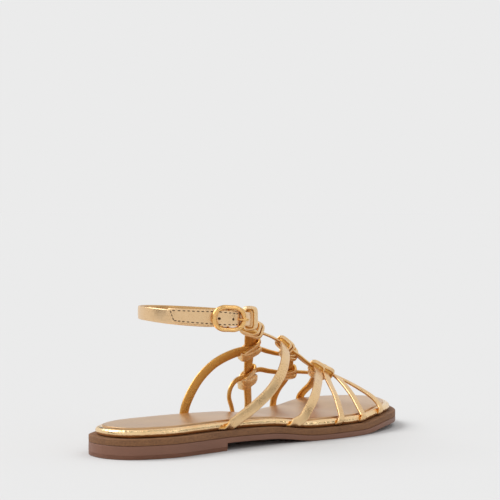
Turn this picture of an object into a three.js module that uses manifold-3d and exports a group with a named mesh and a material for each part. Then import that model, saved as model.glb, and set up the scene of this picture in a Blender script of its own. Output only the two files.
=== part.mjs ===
// A right gladiator sandal: flat moulded sole, midsole, padded footbed, a fixed
// upper of knotted straps and a buckled ankle strap.
// Millimetres. X runs from heel to toe, +Y to the big-toe side, +Z up from the floor.
import * as THREE from 'three';
import { mergeVertices } from 'three/addons/utils/BufferGeometryUtils.js';
import Module from 'manifold-3d';

const wasm = await Module();
wasm.setup();

// Sole
const soleLength = 255;
const ballWidth = 86;
const heelHeight = 4.5;
const heelBlockLength = 72;
const toeSpring = 3.6;
const outsoleThickness = 3.4;
const outsoleEdge = 0.5;
const midsoleThickness = 3.6;
const footbedThickness = 4.7;
const footbedLedge = 4;
const coverThickness = 0.7;
const coverMargin = 3.4;
const gap = 0.3;
const stations = 30;
const edgeSamples = 90;
const outlineSamples = 800;
const closingRounds = 6;

// Foot form
const instepHeight = 55;
const topEdgeDrop = 1.5;

// Fixed straps
const strapThickness = 1.7;
const footLift = 0.35;
const pocketGap = 0.5;
const wrapThickness = 1.9;
const wrapBite = 0.35;
const stepsPerRow = 2;
const wrapSteps = 6;
const wrapSquare = 0.45;
const knotSides = 12;
const knotBevel = 0.5;

// Ankle strap
const ankleCentreX = 78.5;
const ankleCentreZ = 79.2;
const ankleHalfLength = 37.2;
const ankleHalfWidth = 34;
const ankleSlopeX = -0.06;
const ankleSlopeY = 0.03;
const ankleStrapHeight = 8.6;
const ankleStrapThickness = 1.7;
const ankleLoopTurn = -376;
const ankleLoopBand = 9.2;
const ankleLoopThickness = 1.7;
const ankleLoopGap = 0.8;
const ankleLoopLap = 0.3;
const ankleLoopStart = 0.05;
const ankleLoopBackBand = 8.4;
const ankleLoopBackThickness = 1.4;

// Buckle
const buckleTurn = -105.4;
const buckleHalfLength = 11.6;
const buckleHalfHeight = 6.7;
const buckleWaist = 6.5;
const buckleWire = 1.25;
const ringLap = 0.01;
const ringSteps = 16;
const barSteps = 10;
const buckleRise = 0.6;
const tubeSides = 7;
const foldSides = 14;
const rimGap = 0.8;
const barRadius = 0.8;
const barGap = 0.3;
const barStraight = 3.6;
const barSink = 0.9;
const endPull = 0.6;
const foldThickness = 0.7;
const foldHeight = 8;
const foldRise = 0.5;
const prongWidth = 1.6;
const prongEye = 0.8;
const prongSlotGap = 0.45;
const prongHoleAt = 7.6;
const prongHoleLength = 4.6;
const prongSlotLength = 6.4;
const prongRise = 0.3;
const slotDepth = 4.2;
const freeStrapLift = 2;

// Sole outline: shares of the length and of the ball width
const outlineRows = [
  { along: 0.008, lateral: 0.118, medial: 0.135 },
  { along: 0.031, lateral: 0.214, medial: 0.242 },
  { along: 0.118, lateral: 0.338, medial: 0.359 },
  { along: 0.235, lateral: 0.357, medial: 0.349 },
  { along: 0.333, lateral: 0.365, medial: 0.306 },
  { along: 0.431, lateral: 0.391, medial: 0.280 },
  { along: 0.529, lateral: 0.449, medial: 0.313 },
  { along: 0.627, lateral: 0.505, medial: 0.399 },
  { along: 0.706, lateral: 0.516, medial: 0.462 },
  { along: 0.784, lateral: 0.490, medial: 0.498 },
  { along: 0.863, lateral: 0.427, medial: 0.472 },
  { along: 0.922, lateral: 0.334, medial: 0.400 },
  { along: 0.969, lateral: 0.192, medial: 0.287 },
  { along: 0.992, lateral: 0.081, medial: 0.175 },
];
const toeTipShift = 0.047;

// Underside of the sole: shares of the heel height and of the toe spring
const undersideRows = [
  { along: 0, heel: 1, toe: 0 },
  { along: 0.282, heel: 1, toe: 0 },
  { along: 0.431, heel: 0.8, toe: 0 },
  { along: 0.575, heel: 0, toe: 0 },
  { along: 0.72, heel: 0, toe: 0 },
  { along: 0.843, heel: 0, toe: 0.8 },
  { along: 1, heel: 0, toe: 1 },
];

// Foot form above the footbed: height of its ridge as a share of the instep height,
// lean of the ridge to the big-toe side as a share of the ball width, and how full
// its two sides are (1 straight, 2 round)
const lastRows = [
  { along: 0, ridge: 1.46, lean: 0, lateralFull: 2, medialFull: 2.1 },
  { along: 0.157, ridge: 1.38, lean: 0, lateralFull: 1.9, medialFull: 2.1 },
  { along: 0.373, ridge: 1.17, lean: -0.012, lateralFull: 1.8, medialFull: 2.1 },
  { along: 0.49, ridge: 1, lean: 0, lateralFull: 1.6, medialFull: 2.1 },
  { along: 0.569, ridge: 0.92, lean: 0.024, lateralFull: 1.35, medialFull: 2.1 },
  { along: 0.627, ridge: 0.822, lean: 0.047, lateralFull: 1.15, medialFull: 2.1 },
  { along: 0.675, ridge: 0.69, lean: 0.047, lateralFull: 1.05, medialFull: 2.05 },
  { along: 0.714, ridge: 0.58, lean: 0.047, lateralFull: 1.05, medialFull: 2 },
  { along: 0.753, ridge: 0.495, lean: 0.042, lateralFull: 1.1, medialFull: 1.95 },
  { along: 0.804, ridge: 0.367, lean: 0.03, lateralFull: 1.3, medialFull: 1.9 },
  { along: 0.855, ridge: 0.25, lean: 0.024, lateralFull: 1.65, medialFull: 1.9 },
  { along: 1, ridge: 0.1, lean: 0.047, lateralFull: 2, medialFull: 2 },
];

// Straps on the foot form. Along is a share of the sole length. Around is the angle
// over the foot: 0 at the little-toe edge, 90 on the ridge, 180 at the big-toe edge.
// Below 0 and above 180 it is the depth of the tucked foot in millimetres.
const strapRows = {
  instep: {
    width: 6.8,
    rows: [
      { along: 0.268, around: -12 }, { along: 0.274, around: -5 }, { along: 0.29, around: 0 },
      { along: 0.333, around: 3 }, { along: 0.382, around: 10 }, { along: 0.435, around: 20 },
      { along: 0.478, around: 32 }, { along: 0.525, around: 47 }, { along: 0.59, around: 68 },
      { along: 0.633, around: 84 }, { along: 0.673, around: 100 }, { along: 0.706, around: 114 },
      { along: 0.735, around: 128 }, { along: 0.749, around: 142 }, { along: 0.745, around: 156 },
      { along: 0.739, around: 170 }, { along: 0.738, around: 180 }, { along: 0.738, around: 185 },
      { along: 0.738, around: 192 },
    ],
  },
  vamp: {
    width: 6.4,
    rows: [
      { along: 0.49, around: -12 }, { along: 0.496, around: -5 }, { along: 0.506, around: 0 },
      { along: 0.524, around: 5 }, { along: 0.557, around: 18 }, { along: 0.618, around: 36 },
      { along: 0.675, around: 50 }, { along: 0.722, around: 64 }, { along: 0.757, around: 84 },
      { along: 0.788, around: 102 }, { along: 0.82, around: 118 }, { along: 0.841, around: 134 },
      { along: 0.847, around: 152 }, { along: 0.845, around: 168 }, { along: 0.845, around: 180 },
      { along: 0.845, around: 185 }, { along: 0.845, around: 192 },
    ],
  },
  chain: {
    width: 8.4,
    rows: [
      { along: 0.465, around: 74, lift: 0.4 }, { along: 0.48, around: 82, lift: 0.1 },
      { along: 0.503, around: 93 }, { along: 0.53, around: 110 }, { along: 0.557, around: 128 },
      { along: 0.575, around: 142 }, { along: 0.586, around: 154 }, { along: 0.597, around: 164 },
      { along: 0.604, around: 172 }, { along: 0.602, around: 180 }, { along: 0.6, around: 185 },
      { along: 0.6, around: 192 },
    ],
  },
  arch: {
    width: 6.6,
    rows: [
      { along: 0.557, around: 126, lift: -0.7 }, { along: 0.51, around: 134 },
      { along: 0.47, around: 142 },
      { along: 0.424, around: 152 }, { along: 0.39, around: 161 }, { along: 0.365, around: 170 },
      { along: 0.352, around: 176 }, { along: 0.348, around: 180 }, { along: 0.348, around: 185 },
      { along: 0.348, around: 192 },
    ],
  },
  side: {
    width: 4,
    rows: [
      { along: 0.585, around: 153, lift: -0.7 }, { along: 0.535, around: 156 },
      { along: 0.51, around: 163 },
      { along: 0.506, around: 169 }, { along: 0.518, around: 175 }, { along: 0.526, around: 180 },
      { along: 0.53, around: 185 }, { along: 0.53, around: 192 },
    ],
  },
  centre: {
    width: 5,
    rows: [
      { along: 0.485, around: 86, lift: -0.7 }, { along: 0.53, around: 86 },
      { along: 0.575, around: 87 }, { along: 0.63, around: 88, lift: -0.7 },
      { along: 0.69, around: 89 }, { along: 0.745, around: 90, lift: -0.5 },
      { along: 0.785, around: 92, lift: -0.8 }, { along: 0.808, around: 92, lift: -0.8 },
    ],
  },
  innerRear: {
    width: 5,
    rows: [
      { along: 0.56, around: 128, lift: 0.6 }, { along: 0.6, around: 122, lift: 0.2 },
      { along: 0.635, around: 119 }, { along: 0.662, around: 112 },
      { along: 0.675, around: 102, lift: 0.6 },
    ],
  },
  innerFront: {
    width: 5,
    rows: [
      { along: 0.588, around: 152, lift: 0.6 }, { along: 0.63, around: 144, lift: 0.2 },
      { along: 0.68, around: 138 }, { along: 0.733, around: 129, lift: 0.6 },
      { along: 0.762, around: 120, lift: 0.2 }, { along: 0.786, around: 110 },
      { along: 0.8, around: 98, lift: 0.6 },
    ],
  },
  toeRear: {
    width: 5.2,
    rows: [
      { along: 0.79, around: 92, lift: 1.2 }, { along: 0.76, around: 70, lift: 0.3 },
      { along: 0.725, around: 52 },
      { along: 0.693, around: 36 }, { along: 0.667, around: 22 }, { along: 0.651, around: 8 },
      { along: 0.643, around: 0 }, { along: 0.638, around: -5 }, { along: 0.636, around: -12 },
    ],
  },
  toeMiddle: {
    width: 5.2,
    rows: [
      { along: 0.798, around: 90, lift: 0.8 }, { along: 0.79, around: 68, lift: 0.2 },
      { along: 0.776, around: 50 },
      { along: 0.761, around: 35 }, { along: 0.745, around: 21 }, { along: 0.736, around: 8 },
      { along: 0.731, around: 0 }, { along: 0.728, around: -5 }, { along: 0.727, around: -12 },
    ],
  },
  toeFront: {
    width: 5.2,
    rows: [
      { along: 0.804, around: 97, lift: 0.1 }, { along: 0.81, around: 66 }, { along: 0.818, around: 48 },
      { along: 0.825, around: 34 }, { along: 0.826, around: 20 }, { along: 0.823, around: 8 },
      { along: 0.819, around: 0 }, { along: 0.816, around: -5 }, { along: 0.815, around: -12 },
    ],
  },
};

// Knots, from the ankle to the toes: a strap's end wound round the strap that it crosses
const knotRows = [
  { on: 'chain', along: 0.494, around: 88, band: 9.2, skew: 1.4 },
  { on: 'chain', along: 0.557, around: 128, band: 8.5, skew: 2.4 },
  { on: 'chain', along: 0.586, around: 154, band: 10, skew: 2.4 },
  { on: 'instep', along: 0.63, around: 83, band: 6, skew: 0.6 },
  { on: 'instep', along: 0.672, around: 99, band: 7.5, skew: -0.8 },
  { on: 'instep', along: 0.735, around: 128, band: 8.5, skew: 1.6 },
  { on: 'vamp', along: 0.752, around: 80, band: 6.5, skew: 0.6 },
  { on: 'vamp', along: 0.796, around: 106, band: 8.5, skew: -0.8 },
];

// Ankle strap, from the buckle's bar round the heel and back through the buckle.
// Turn is the angle about the loop's centre, 0 at the front. Lift is outwards, rise up.
const ankleRows = [
  { turn: -106.6, lift: 1.2, rise: 0.3 }, { turn: -113.4, lift: 0.4, rise: 0 },
  { turn: -122.4, lift: 0, rise: -0.5 }, { turn: -142, lift: 0, rise: -0.6 },
  { turn: -165, lift: 0, rise: -0.4 }, { turn: -190, lift: 0, rise: 0 },
  { turn: -215, lift: 0, rise: 0 }, { turn: -240, lift: 0, rise: 0 },
  { turn: -265, lift: 0, rise: 0 }, { turn: -290, lift: 0, rise: 0 },
  { turn: -315, lift: 0, rise: 0 }, { turn: -340, lift: 0, rise: 0 },
  { turn: -365, lift: 0.4, rise: 0 }, { turn: -380, lift: -0.6, rise: 0 },
  { turn: -395, lift: -2.6, rise: 0 }, { turn: -411, lift: -3.4, rise: 0.1 },
  { turn: -426, lift: -2, rise: 0.2 }, { turn: -442.4, lift: 1.7, rise: 0.4 },
  { turn: -451.4, lift: 2.1, rise: 0.5 }, { turn: -458.4, lift: 4, rise: 0.5 },
  { turn: -465.4, lift: 5, rise: 0.6 }, { turn: -472.4, lift: 4, rise: 0.6 },
  { turn: -479.4, lift: 2.1, rise: 0.6 }, { turn: -488.4, lift: 2, rise: 0.6 },
  { turn: -504, lift: 2, rise: 0.6 }, { turn: -518.5, lift: 2, rise: 0.6 },
];

// Buckle ring: a quarter of it, in shares of its half length and half height
const ringRows = [
  { along: 1, up: 0 }, { along: 0.94, up: 0.5 }, { along: 0.7, up: 0.9 }, { along: 0.38, up: 1 },
];

// Prong's finger in profile, from the eye under the bar out to the rim and back
const fingerRows = [
  { along: 0, over: 'eye', lift: 0 }, { along: 4.4, over: 'bar', lift: -1.1 },
  { along: 6.4, over: 'bar', lift: -0.9 }, { along: 8.6, over: 'bar', lift: 1.6 },
  { along: 10.6, over: 'rim', lift: 0 }, { along: 13, over: 'rim', lift: -0.2 },
  { along: 13.3, over: 'rim', lift: 0.5 }, { along: 12.4, over: 'rim', lift: 1 },
  { along: 10.2, over: 'rim', lift: 1 }, { along: 7.8, over: 'bar', lift: 2 },
  { along: 5.8, over: 'bar', lift: 0.1 }, { along: 3, over: 'bar', lift: 0.1 },
  { along: 1.2, over: 'bar', lift: 1.2 },
];

// Smooth curve through the values of one column
function column(rows, key) {
  const x = rows.map((row) => row.along);
  const y = rows.map((row) => row[key]);
  const last = x.length - 1;
  const slope = x.slice(1).map((value, i) => (y[i + 1] - y[i]) / (value - x[i]));
  const tangent = x.map((_, i) => {
    if (i === 0) return slope[0];
    if (i === last) return slope[last - 1];
    const flat = slope[i - 1] * slope[i] <= 0;
    return flat ? 0 : (2 * slope[i - 1] * slope[i]) / (slope[i - 1] + slope[i]);
  });
  return (share) => {
    const at = Math.min(Math.max(share, x[0]), x[last]);
    let i = 0;
    while (i < last - 1 && at > x[i + 1]) i += 1;
    const span = x[i + 1] - x[i];
    const t = (at - x[i]) / span;
    const rise = t * t * (3 - 2 * t);
    return y[i] + (y[i + 1] - y[i]) * rise
      + span * (tangent[i] * t * (1 - t) ** 2 - tangent[i + 1] * t * t * (1 - t));
  };
}

// Closed solid from a three.js geometry, for joining and cutting
function solidOf(geometry) {
  const bare = geometry.clone();
  bare.deleteAttribute('normal');
  bare.deleteAttribute('uv');
  const merged = mergeVertices(bare, 1e-3);
  return new wasm.Manifold(new wasm.Mesh({
    numProp: 3,
    vertProperties: new Float32Array(merged.attributes.position.array),
    triVerts: new Uint32Array(merged.index.array),
  }));
}

function geometryOf(solid) {
  const mesh = solid.getMesh();
  const geometry = new THREE.BufferGeometry();
  geometry.setAttribute('position', new THREE.BufferAttribute(mesh.vertProperties, 3));
  geometry.setIndex(new THREE.BufferAttribute(mesh.triVerts, 1));
  geometry.computeVertexNormals();
  return geometry;
}

// Sole outline and levels
const outline = new THREE.CatmullRomCurve3([
  new THREE.Vector3(0, 0, 0),
  ...outlineRows.map(
    (row) => new THREE.Vector3(row.along * soleLength, row.medial * ballWidth, 0)),
  new THREE.Vector3(soleLength, toeTipShift * ballWidth, 0),
  ...outlineRows.toReversed().map(
    (row) => new THREE.Vector3(row.along * soleLength, -row.lateral * ballWidth, 0)),
], true, 'centripetal');
outline.arcLengthDivisions = outlineSamples;
const toeShare = (() => {
  const samples = outline.getSpacedPoints(outlineSamples);
  const furthest = samples.reduce((best, point, i) => (point.x > samples[best].x ? i : best), 0);
  return furthest / outlineSamples;
})();

// Point on one side of the outline, moved inwards; side is 1 for the big-toe side
function edgePoint(side, share, inset) {
  const u = side > 0 ? share * toeShare : 1 - share * (1 - toeShare);
  const point = outline.getPointAt(u);
  const tangent = outline.getTangentAt(u);
  return point.add(new THREE.Vector3(tangent.y, -tangent.x, 0).multiplyScalar(inset));
}

const heelRise = column(undersideRows, 'heel');
const toeRise = column(undersideRows, 'toe');
const underside = (x) => heelHeight * heelRise(x / soleLength)
  + toeSpring * toeRise(x / soleLength);
const midsoleBottom = outsoleThickness + gap;
const midsoleTop = midsoleBottom + midsoleThickness;
const footbedBottom = midsoleTop + gap;
const footbedTop = footbedBottom + footbedThickness;

// Layered slab that follows the outline; each layer has an inset and a level over the base
function slab(layers, base) {
  const geometry = new THREE.BoxGeometry(1, 1, 1, stations, 2, layers.length - 1);
  const position = geometry.attributes.position;
  for (let i = 0; i < position.count; i += 1) {
    const share = (0.5 + (position.getX(i) + 0.5) * stations) / (stations + 1);
    const layer = layers[Math.round((position.getZ(i) + 0.5) * (layers.length - 1))];
    const lateral = edgePoint(-1, share, layer.inset);
    const medial = edgePoint(1, share, layer.inset);
    const point = lateral.lerp(medial, position.getY(i) + 0.5);
    position.setXYZ(i, point.x, point.y, base(point.x) + layer.level);
  }
  return solidOf(geometry);
}

function outsole() {
  const plate = slab([
    { inset: outsoleEdge, level: 0 },
    { inset: 0, level: outsoleEdge },
    { inset: 0, level: outsoleThickness },
  ], underside);
  const block = slab([
    { inset: outsoleEdge, level: 0 },
    { inset: 0, level: outsoleEdge },
    { inset: 0, level: heelHeight + outsoleThickness / 2 },
  ], () => 0);
  const reach = 2 * ballWidth;
  const keepGeometry = new THREE.BoxGeometry(reach, reach, reach);
  keepGeometry.translate(heelBlockLength - reach / 2, 0, 0);
  return plate.add(block.intersect(solidOf(keepGeometry)));
}

function midsole() {
  return slab([
    { inset: 0, level: midsoleBottom },
    { inset: 0, level: midsoleTop - outsoleEdge },
    { inset: outsoleEdge, level: midsoleTop },
  ], underside);
}

function footbedPad() {
  const rim = footbedThickness / 2;
  const layers = [-1, -0.75, -0.3, 0.3, 0.75, 1].map((side) => ({
    inset: footbedLedge + rim * (1 - Math.sqrt(1 - side * side)),
    level: footbedBottom + rim * (1 + side),
  }));
  return slab(layers, underside);
}

function insoleCover() {
  const inset = footbedLedge + coverMargin;
  return slab([
    { inset, level: footbedTop + gap },
    { inset, level: footbedTop + gap + coverThickness },
  ], underside);
}

// Foot form: point at a share of the length and an angle around the foot
const ridgeRise = column(lastRows, 'ridge');
const ridgeLean = column(lastRows, 'lean');
const lateralFull = column(lastRows, 'lateralFull');
const medialFull = column(lastRows, 'medialFull');
const strapInset = footbedLedge - gap - strapThickness / 2;
const edgeReach = (side) => column(Array.from({ length: edgeSamples + 1 }, (_, i) => {
  const point = edgePoint(side, i / edgeSamples, strapInset);
  return { along: point.x / soleLength, reach: side * point.y };
}), 'reach');
const lateralReach = edgeReach(-1);
const medialReach = edgeReach(1);
const tuckLevel = midsoleTop + gap + footLift + strapThickness / 2;
const edgeLevel = footbedTop - topEdgeDrop;

function lastPoint(along, around) {
  const x = along * soleLength;
  const centre = ridgeLean(along) * ballWidth;
  const lateral = lateralReach(along) + centre;
  const medial = medialReach(along) - centre;
  const depth = Math.max(-around, around - 180);
  if (depth > 0) {
    const side = around < 0 ? -1 : 1;
    const radius = edgeLevel - tuckLevel;
    const arc = radius * Math.PI / 2;
    const turn = Math.min(depth / arc, 1) * Math.PI / 2;
    const inwards = radius * (1 - Math.cos(turn)) + Math.max(depth - arc, 0);
    const reach = (side < 0 ? lateral : medial) - inwards;
    return new THREE.Vector3(x, centre + side * reach,
      underside(x) + edgeLevel - radius * Math.sin(turn));
  }
  const angle = THREE.MathUtils.degToRad(around);
  const isLateral = around < 90;
  const power = 2 / (isLateral ? lateralFull(along) : medialFull(along));
  const across = Math.abs(Math.cos(angle)) ** power * (isLateral ? -lateral : medial);
  const top = ridgeRise(along) * instepHeight + (footbedTop - edgeLevel);
  return new THREE.Vector3(x, centre + across,
    underside(x) + edgeLevel + top * Math.abs(Math.sin(angle)) ** power);
}

function lastNormal(along, around) {
  const stepAlong = 0.004;
  const stepAround = 2.5;
  const forward = lastPoint(along + stepAlong, around).sub(lastPoint(along - stepAlong, around));
  const across = lastPoint(along, around + stepAround).sub(lastPoint(along, around - stepAround));
  return forward.cross(across).normalize();
}

// A ribbon's route: a curve that also knows which way its face looks
class RibbonRoute extends THREE.Curve {
  // Even steps from row to row, so that tight bends keep their points
  getUtoTmapping(u) {
    return u;
  }

  computeFrenetFrames(steps) {
    const frames = { tangents: [], normals: [], binormals: [] };
    for (let i = 0; i <= steps; i += 1) {
      const t = this.getUtoTmapping(i / steps);
      const tangent = this.getTangent(t);
      const face = this.face(t);
      face.addScaledVector(tangent, -face.dot(tangent)).normalize();
      frames.tangents.push(tangent);
      frames.normals.push(new THREE.Vector3().crossVectors(face, tangent));
      frames.binormals.push(face);
    }
    return frames;
  }
}

// Weights of the columns along and lift beside the column around, in a strap's smoothing
const alongScale = 400;
const liftScale = 10;

class StrapRoute extends RibbonRoute {
  constructor(rows) {
    super();
    const points = rows.map((row) => new THREE.Vector3(
      row.along * alongScale, row.around, (row.lift ?? 0) * liftScale));
    this.route = new THREE.CatmullRomCurve3(points, false, 'centripetal');
  }

  getPoint(t, target = new THREE.Vector3()) {
    const row = this.route.getPoint(t);
    const along = row.x / alongScale;
    const lifted = lastNormal(along, row.y).multiplyScalar(row.z / liftScale);
    return target.copy(lastPoint(along, row.y)).add(lifted);
  }

  face(t) {
    const row = this.route.getPoint(t);
    return lastNormal(row.x / alongScale, row.y);
  }
}

const ankleLiftScale = 4;

class AnkleRoute extends RibbonRoute {
  constructor(rows) {
    super();
    const points = rows.map((row) => new THREE.Vector3(
      row.turn, row.lift * ankleLiftScale, row.rise * ankleLiftScale));
    this.route = new THREE.CatmullRomCurve3(points, false, 'centripetal');
  }

  getPoint(t, target = new THREE.Vector3()) {
    const row = this.route.getPoint(t);
    return target.copy(anklePoint(row.x, row.y / ankleLiftScale, row.z / ankleLiftScale));
  }

  face(t) {
    return ankleFace(this.route.getPoint(t).x);
  }
}

function ankleFace(turn) {
  const angle = THREE.MathUtils.degToRad(turn);
  return new THREE.Vector3(Math.cos(angle) / ankleHalfLength, Math.sin(angle) / ankleHalfWidth, 0)
    .normalize();
}

function anklePoint(turn, lift, rise) {
  const angle = THREE.MathUtils.degToRad(turn);
  const point = new THREE.Vector3(
    ankleHalfLength * Math.cos(angle), ankleHalfWidth * Math.sin(angle), 0);
  point.addScaledVector(ankleFace(turn), lift);
  point.z = ankleCentreZ + ankleSlopeX * point.x + ankleSlopeY * point.y + rise;
  point.x += ankleCentreX;
  return point;
}

// Route of a band wrapped round a strap whose section it follows at a given distance
class WrapRoute extends RibbonRoute {
  constructor(frame, halfWidth, halfThickness, from, to) {
    super();
    Object.assign(this, { frame, halfWidth, halfThickness, from, to });
  }

  place(t) {
    const angle = this.from + (this.to - this.from) * t;
    const across = Math.sign(Math.cos(angle)) * Math.abs(Math.cos(angle)) ** wrapSquare;
    const out = Math.sign(Math.sin(angle)) * Math.abs(Math.sin(angle)) ** wrapSquare;
    return { angle, across, out };
  }

  getPoint(t, target = new THREE.Vector3()) {
    const { across, out } = this.place(t);
    return target.copy(this.frame.point)
      .addScaledVector(this.frame.side, this.halfWidth * across)
      .addScaledVector(this.frame.face, this.halfThickness * out);
  }

  face(t) {
    const { angle } = this.place(t);
    return new THREE.Vector3()
      .addScaledVector(this.frame.side, Math.cos(angle) / this.halfWidth)
      .addScaledVector(this.frame.face, Math.sin(angle) / this.halfThickness)
      .normalize();
  }
}

// Section of a strap, its two outer edges turned over
function bandSection(width, thickness) {
  const corner = thickness * 0.3;
  const x = width / 2;
  const y = thickness / 2;
  return new THREE.Shape([
    [-x, -y], [x, -y], [x, y - corner], [x - corner, y], [-x + corner, y], [-x, y - corner],
  ].map(([across, out]) => new THREE.Vector2(across, out)));
}

function ribbon(route, width, thickness, steps) {
  const options = { steps, bevelEnabled: false, extrudePath: route };
  return solidOf(new THREE.ExtrudeGeometry(bandSection(width, thickness), options));
}

// Position and directions of a route where it passes nearest to a point
function frameNear(route, point) {
  const samples = 240;
  let best = 0;
  for (let i = 0; i <= samples; i += 1) {
    const away = route.getPoint(i / samples).distanceTo(point);
    if (away < route.getPoint(best / samples).distanceTo(point)) best = i;
  }
  const t = best / samples;
  const tangent = route.getTangent(t);
  const face = route.face(t);
  face.addScaledVector(tangent, -face.dot(tangent)).normalize();
  const side = new THREE.Vector3().crossVectors(face, tangent);
  return { point: route.getPoint(t), tangent, face, side };
}

// Loop that hangs on the ankle strap: its outer turn, and a thinner turn behind the strap
function ankleLoop(frame) {
  const halfWidth = ankleStrapHeight / 2 + ankleLoopGap + ankleLoopThickness / 2;
  const halfThickness = ankleStrapThickness / 2 + ankleLoopGap + ankleLoopThickness / 2;
  const turn = (from, to) => new WrapRoute(frame, halfWidth, halfThickness, from, to);
  const outer = turn(-ankleLoopLap, Math.PI + ankleLoopLap);
  const inner = turn(Math.PI + ankleLoopStart, 2 * Math.PI - ankleLoopStart);
  return ribbon(outer, ankleLoopBand, ankleLoopThickness, wrapSteps)
    .add(ribbon(inner, ankleLoopBackBand, ankleLoopBackThickness, wrapSteps));
}

// Knot: a band wound tight round a strap, so that the two are one body inside it.
// Skew slants the band along the strap.
function knotBand(frame, stripWidth, stripThickness, band, skew) {
  const halfWidth = stripWidth / 2 + wrapThickness - wrapBite;
  const halfThickness = stripThickness / 2 + wrapThickness - wrapBite;
  const section = new THREE.Shape(Array.from({ length: knotSides }, (_, i) => {
    const angle = (i + 0.5) * 2 * Math.PI / knotSides;
    return new THREE.Vector2(
      halfWidth * Math.sign(Math.cos(angle)) * Math.abs(Math.cos(angle)) ** wrapSquare,
      halfThickness * Math.sign(Math.sin(angle)) * Math.abs(Math.sin(angle)) ** wrapSquare);
  }));
  const geometry = new THREE.ExtrudeGeometry(section, {
    depth: band - 2 * knotBevel,
    bevelThickness: knotBevel,
    bevelSize: knotBevel,
    bevelOffset: -knotBevel,
    bevelSegments: 1,
  });
  geometry.translate(0, 0, knotBevel - band / 2);
  geometry.applyMatrix4(new THREE.Matrix4().makeShear(0, skew / halfWidth, 0, 0, 0, 0));
  const basis = new THREE.Matrix4().makeBasis(frame.side, frame.face, frame.tangent);
  return solidOf(geometry.applyMatrix4(basis.setPosition(frame.point)));
}

const strapRoutes = Object.fromEntries(
  Object.entries(strapRows).map(([name, strap]) => [name, new StrapRoute(strap.rows)]));
const ankleRoute = new AnkleRoute(ankleRows);

function upper() {
  const straps = Object.entries(strapRows).map(([name, { width, rows }]) => ribbon(
    strapRoutes[name], width, strapThickness, stepsPerRow * (rows.length - 1)));
  const knots = knotRows.map((knot) => {
    const frame = frameNear(strapRoutes[knot.on], lastPoint(knot.along, knot.around));
    const { width } = strapRows[knot.on];
    return knotBand(frame, width, strapThickness, knot.band, knot.skew);
  });
  const ankleFrame = frameNear(ankleRoute, anklePoint(ankleLoopTurn, 0, 0));
  return [...straps, ...knots, ankleLoop(ankleFrame)].reduce((joined, part) => joined.add(part));
}

// Straps with the clearance round them, to cut the pockets of their feet
function footPockets() {
  const grow = 2 * pocketGap;
  const deeper = (row) => (row.around < 0 || row.around > 180
    ? { ...row, around: row.around + Math.sign(row.around) * grow } : row);
  return Object.values(strapRows)
    .filter(({ rows }) => rows.some((row) => row.around < 0 || row.around > 180))
    .map(({ width, rows }) => {
      const last = rows.length - 1;
      const longer = rows.map((row, i) => (i === 0 || i === last ? deeper(row) : row));
      return ribbon(new StrapRoute(longer), width + grow, strapThickness + grow, stepsPerRow * last);
    })
    .reduce((joined, pocket) => joined.add(pocket));
}

// Buckle frame of reference: x towards the toe along the strap, y up, z outwards
const buckleSagitta = buckleHalfLength ** 2 * ankleHalfWidth / (2 * ankleHalfLength ** 2);
const rimLift = freeStrapLift + ankleStrapThickness / 2 + rimGap + buckleWire;
const frameLift = rimLift - buckleSagitta;
const barLift = frameLift - barSink;
const buckleMatrix = (() => {
  const along = anklePoint(buckleTurn + 1, 0, 0).sub(anklePoint(buckleTurn - 1, 0, 0)).normalize();
  const out = ankleFace(buckleTurn);
  out.addScaledVector(along, -out.dot(along)).normalize();
  const up = new THREE.Vector3().crossVectors(out, along);
  return new THREE.Matrix4().makeBasis(along, up, out).setPosition(anklePoint(buckleTurn, 0, 0));
})();

const circle = (radius, sides) => new THREE.EllipseCurve(0, 0, radius, radius)
  .getPoints(sides).slice(0, -1);

function tube(path, radius, steps) {
  const section = new THREE.Shape(circle(radius, tubeSides));
  const options = { steps, bevelEnabled: false, extrudePath: path };
  const geometry = new THREE.ExtrudeGeometry(section, options);
  return solidOf(geometry.applyMatrix4(buckleMatrix));
}

// Part of a closed route, from one share of its length to another
class RingArc extends THREE.Curve {
  constructor(ring, from, to) {
    super();
    Object.assign(this, { ring, from, to });
  }

  getPoint(t, target = new THREE.Vector3()) {
    return this.ring.getPoint((1 + this.from + (this.to - this.from) * t) % 1, target);
  }
}

const smooth = (points, isClosed) => new THREE.CatmullRomCurve3(
  points.map(([x, y, z]) => new THREE.Vector3(x, y, z)), isClosed, 'centripetal');

function buckleFrame() {
  const rise = buckleRise;
  const quarter = [
    ...ringRows.map(({ along, up }) => [along * buckleHalfLength, up * buckleHalfHeight]),
    [0, buckleWaist],
  ];
  const upperHalf = [...quarter, ...quarter.slice(0, -1).reverse().map(([x, y]) => [-x, y])];
  const lowerHalf = upperHalf.slice(1, -1).reverse().map(([x, y]) => [x, -y]);
  const ring = [...upperHalf, ...lowerHalf].map(([x, y]) => [x, y + rise, frameLift]);
  const bar = [
    [0, buckleWaist + rise, frameLift - endPull / 2], [0, buckleWaist - 1 + rise, barLift],
    [0, barStraight + rise, barLift], [0, rise, barLift], [0, -barStraight + rise, barLift],
    [0, -buckleWaist + 1 + rise, barLift], [0, -buckleWaist + rise, frameLift - endPull / 2],
  ];
  const route = smooth(ring, true);
  return tube(new RingArc(route, -ringLap, 0.5), buckleWire, ringSteps)
    .add(tube(new RingArc(route, 0.5 - ringLap, 1), buckleWire, ringSteps))
    .add(tube(smooth(bar, false), barRadius, barSteps));
}

// Tunnel at the strap's end that holds the bar, open in its middle for the prong
function barFold() {
  const inner = barRadius + barGap;
  const outer = inner + foldThickness;
  const section = new THREE.Shape(circle(outer, foldSides));
  section.holes.push(new THREE.Path(circle(inner, foldSides)));
  const geometry = new THREE.ExtrudeGeometry(section, { depth: foldHeight, bevelEnabled: false });
  geometry.rotateX(Math.PI / 2);
  geometry.translate(0, foldHeight / 2 + foldRise, barLift);
  return solidOf(geometry.applyMatrix4(buckleMatrix));
}

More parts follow.
